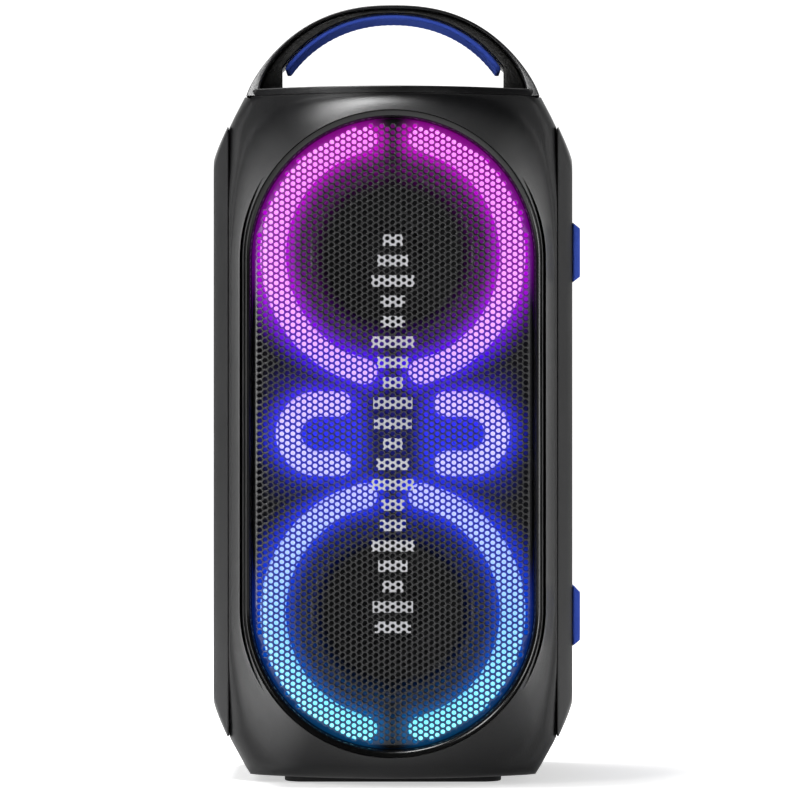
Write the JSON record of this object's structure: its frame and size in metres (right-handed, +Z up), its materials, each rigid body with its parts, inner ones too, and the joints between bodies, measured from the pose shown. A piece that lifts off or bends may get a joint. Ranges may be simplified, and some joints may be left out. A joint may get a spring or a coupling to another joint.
{
  "type": "party speaker",
  "caption": "Tall portable party speaker with stacked woofers and ring lights behind a stadium-shaped grille, a fixed arch handle, rubber pads and a rear socket bay.",
  "frame": {"origin": "centre of the bottom foot's underside, on the surface that the speaker stands on", "axes": "+Z up, -Y out of the grille (front), +X to the side that carries the blue pads"},
  "size_m": [0.225, 0.2168, 0.4745],
  "materials": {
    "cabinet_abs": "satin black moulded ABS with a fine spark texture",
    "dark_abs": "matt black ABS",
    "blue_rubber": "matt blue elastomer",
    "black_rubber": "matt black rubber",
    "button_rubber": "matt black rubber keys",
    "grille_steel": "black powder-coated perforated steel, a light grey print down the middle",
    "light_guide_upper": "milky light guide, lit pink to lilac",
    "light_guide_lower": "milky light guide, lit periwinkle to cyan",
    "light_guide_centre": "milky light guide, lit near-white lilac",
    "circuit_board": "green solder mask",
    "surround_rubber": "black butyl rubber",
    "coated_paper": "black coated paper",
    "dark_steel": "black painted steel",
    "ferrite": "sintered ferrite",
    "copper_winding": "enamelled copper wire",
    "spider_cloth": "resin-treated cloth",
    "heat_sink_aluminium": "extruded",
    "battery_wrap": "dark shrink wrap",
    "wire_sleeve": "red wire sleeve"
  },
  "bodies": {
    "root": {"amplifier_board": "circuit_board", "baffle": "dark_abs", "bass_port_tube": "dark_abs", "battery_pack": "battery_wrap", "bottom_foot": "black_rubber", "button_board": "circuit_board", "centre_led_board": "circuit_board", "centre_light_left": "light_guide_centre", "centre_light_right": "light_guide_centre", "control_panel": "dark_abs", "front_frame": "cabinet_abs", "grille": "grille_steel", "handle_frame": "cabinet_abs", "handle_grip": "blue_rubber", "heat_sink": "heat_sink_aluminium", "lower_led_board": "circuit_board", "lower_light_left": "light_guide_lower", "lower_light_right": "light_guide_lower", "port_cover_pin": "dark_steel", "rear_cover": "cabinet_abs", "side_pad_lower": "blue_rubber", "side_pad_upper": "blue_rubber", "side_panel_left": "cabinet_abs", "side_panel_right": "cabinet_abs", "socket_bay": "dark_abs", "socket_board": "circuit_board", "speaker_lead_lower": "wire_sleeve", "speaker_lead_upper": "wire_sleeve", "tweeter_left_dome": "coated_paper", "tweeter_left_housing": "dark_abs", "tweeter_right_dome": "coated_paper", "tweeter_right_housing": "dark_abs", "upper_led_board": "circuit_board", "upper_light_left": "light_guide_upper", "upper_light_right": "light_guide_upper", "woofer_lower_basket": "dark_steel", "woofer_lower_magnet": "ferrite", "woofer_lower_spider": "spider_cloth", "woofer_lower_surround": "surround_rubber", "woofer_lower_yoke": "dark_steel", "woofer_upper_basket": "dark_steel", "woofer_upper_magnet": "ferrite", "woofer_upper_spider": "spider_cloth", "woofer_upper_surround": "surround_rubber", "woofer_upper_yoke": "dark_steel"},
    "woofer_upper_piston": {"woofer_upper_cone": "coated_paper", "woofer_upper_dust_cap": "coated_paper", "woofer_upper_voice_coil": "copper_winding"},
    "woofer_lower_piston": {"woofer_lower_cone": "coated_paper", "woofer_lower_dust_cap": "coated_paper", "woofer_lower_voice_coil": "copper_winding"},
    "button_power": {"button_power": "button_rubber"},
    "button_pairing": {"button_pairing": "button_rubber"},
    "button_volume_down": {"button_volume_down": "button_rubber"},
    "button_play": {"button_play": "button_rubber"},
    "button_volume_up": {"button_volume_up": "button_rubber"},
    "button_light": {"button_light": "button_rubber"},
    "button_bass": {"button_bass": "button_rubber"},
    "port_cover": {"port_cover": "black_rubber"}
  },
  "joints": [
    {"name": "woofer_upper_travel", "type": "slide", "parent": "root", "child": "woofer_upper_piston", "axis": [0, -1, 0], "range_m": [-0.003, 0.003], "stiffness_N_per_m": 1500, "deforming": ["woofer_upper_surround", "woofer_upper_spider"]},
    {"name": "woofer_lower_travel", "type": "slide", "parent": "root", "child": "woofer_lower_piston", "axis": [0, -1, 0], "range_m": [-0.003, 0.003], "stiffness_N_per_m": 1500, "deforming": ["woofer_lower_surround", "woofer_lower_spider"]},
    {"name": "button_power_press", "type": "slide", "parent": "root", "child": "button_power", "axis": [0, 0, -1], "range_m": [0, 0.001], "stiffness_N_per_m": 800},
    {"name": "button_pairing_press", "type": "slide", "parent": "root", "child": "button_pairing", "axis": [0, 0, -1], "range_m": [0, 0.001], "stiffness_N_per_m": 800},
    {"name": "button_volume_down_press", "type": "slide", "parent": "root", "child": "button_volume_down", "axis": [0, 0, -1], "range_m": [0, 0.001], "stiffness_N_per_m": 800},
    {"name": "button_play_press", "type": "slide", "parent": "root", "child": "button_play", "axis": [0, 0, -1], "range_m": [0, 0.001], "stiffness_N_per_m": 800},
    {"name": "button_volume_up_press", "type": "slide", "parent": "root", "child": "button_volume_up", "axis": [0, 0, -1], "range_m": [0, 0.001], "stiffness_N_per_m": 800},
    {"name": "button_light_press", "type": "slide", "parent": "root", "child": "button_light", "axis": [0, 0, -1], "range_m": [0, 0.001], "stiffness_N_per_m": 800},
    {"name": "button_bass_press", "type": "slide", "parent": "root", "child": "button_bass", "axis": [0, 0, -1], "range_m": [0, 0.001], "stiffness_N_per_m": 800},
    {"name": "port_cover_hinge", "type": "hinge", "parent": "root", "child": "port_cover", "pos_m": [0, 0.106, 0.062], "axis": [-1, 0, 0], "range_deg": [0, 110]}
  ]
}
